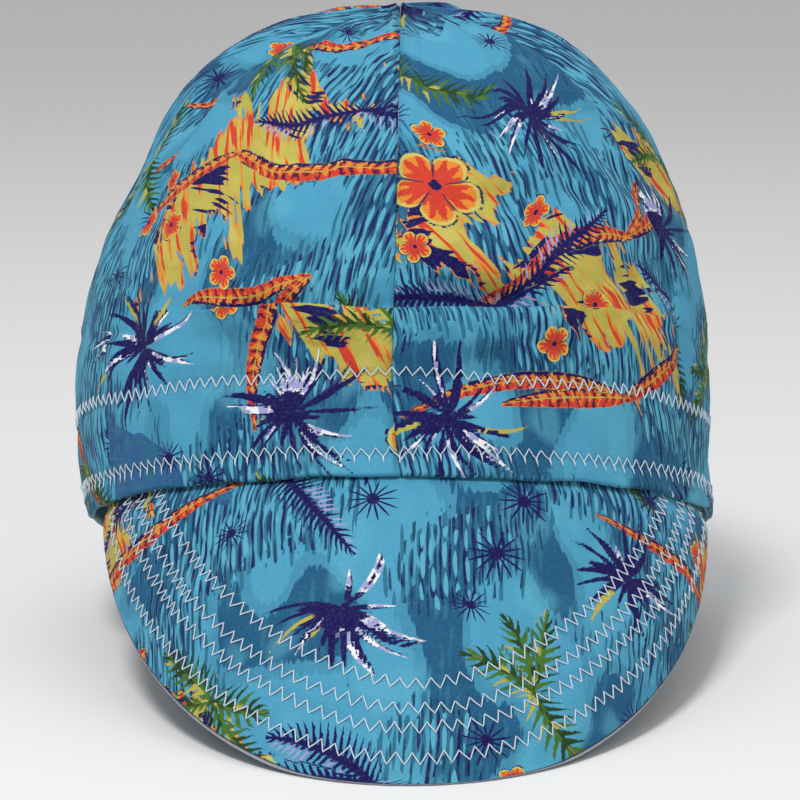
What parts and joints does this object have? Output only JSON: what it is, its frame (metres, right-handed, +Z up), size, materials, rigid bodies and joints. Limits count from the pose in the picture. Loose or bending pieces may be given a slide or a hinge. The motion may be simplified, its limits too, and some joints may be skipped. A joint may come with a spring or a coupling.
{
  "type": "welding cap",
  "caption": "Soft printed-cotton welding cap with a six-panel dome crown, a band stitched inside it and a long quilted bill, standing on its bill and back hem.",
  "frame": {"origin": "under the middle of the cap's box, on the surface that it stands on", "axes": "+Z up, the bill towards -Y, +X towards the wearer's left"},
  "size_m": [0.1902, 0.2678, 0.1851],
  "materials": {
    "crown_cloth": "printed cotton, matt with a slight sheen",
    "band_cloth": "cotton, the print's paler wrong side",
    "bill_cloth": "printed cotton, quilted with pale thread"
  },
  "bodies": {
    "root": {"band_left": "band_cloth", "band_right": "band_cloth", "bill": "bill_cloth", "crown_back_left": "crown_cloth", "crown_back_right": "crown_cloth", "crown_front_left": "crown_cloth", "crown_front_right": "crown_cloth", "crown_side_left": "crown_cloth", "crown_side_right": "crown_cloth"}
  },
  "joints": []
}
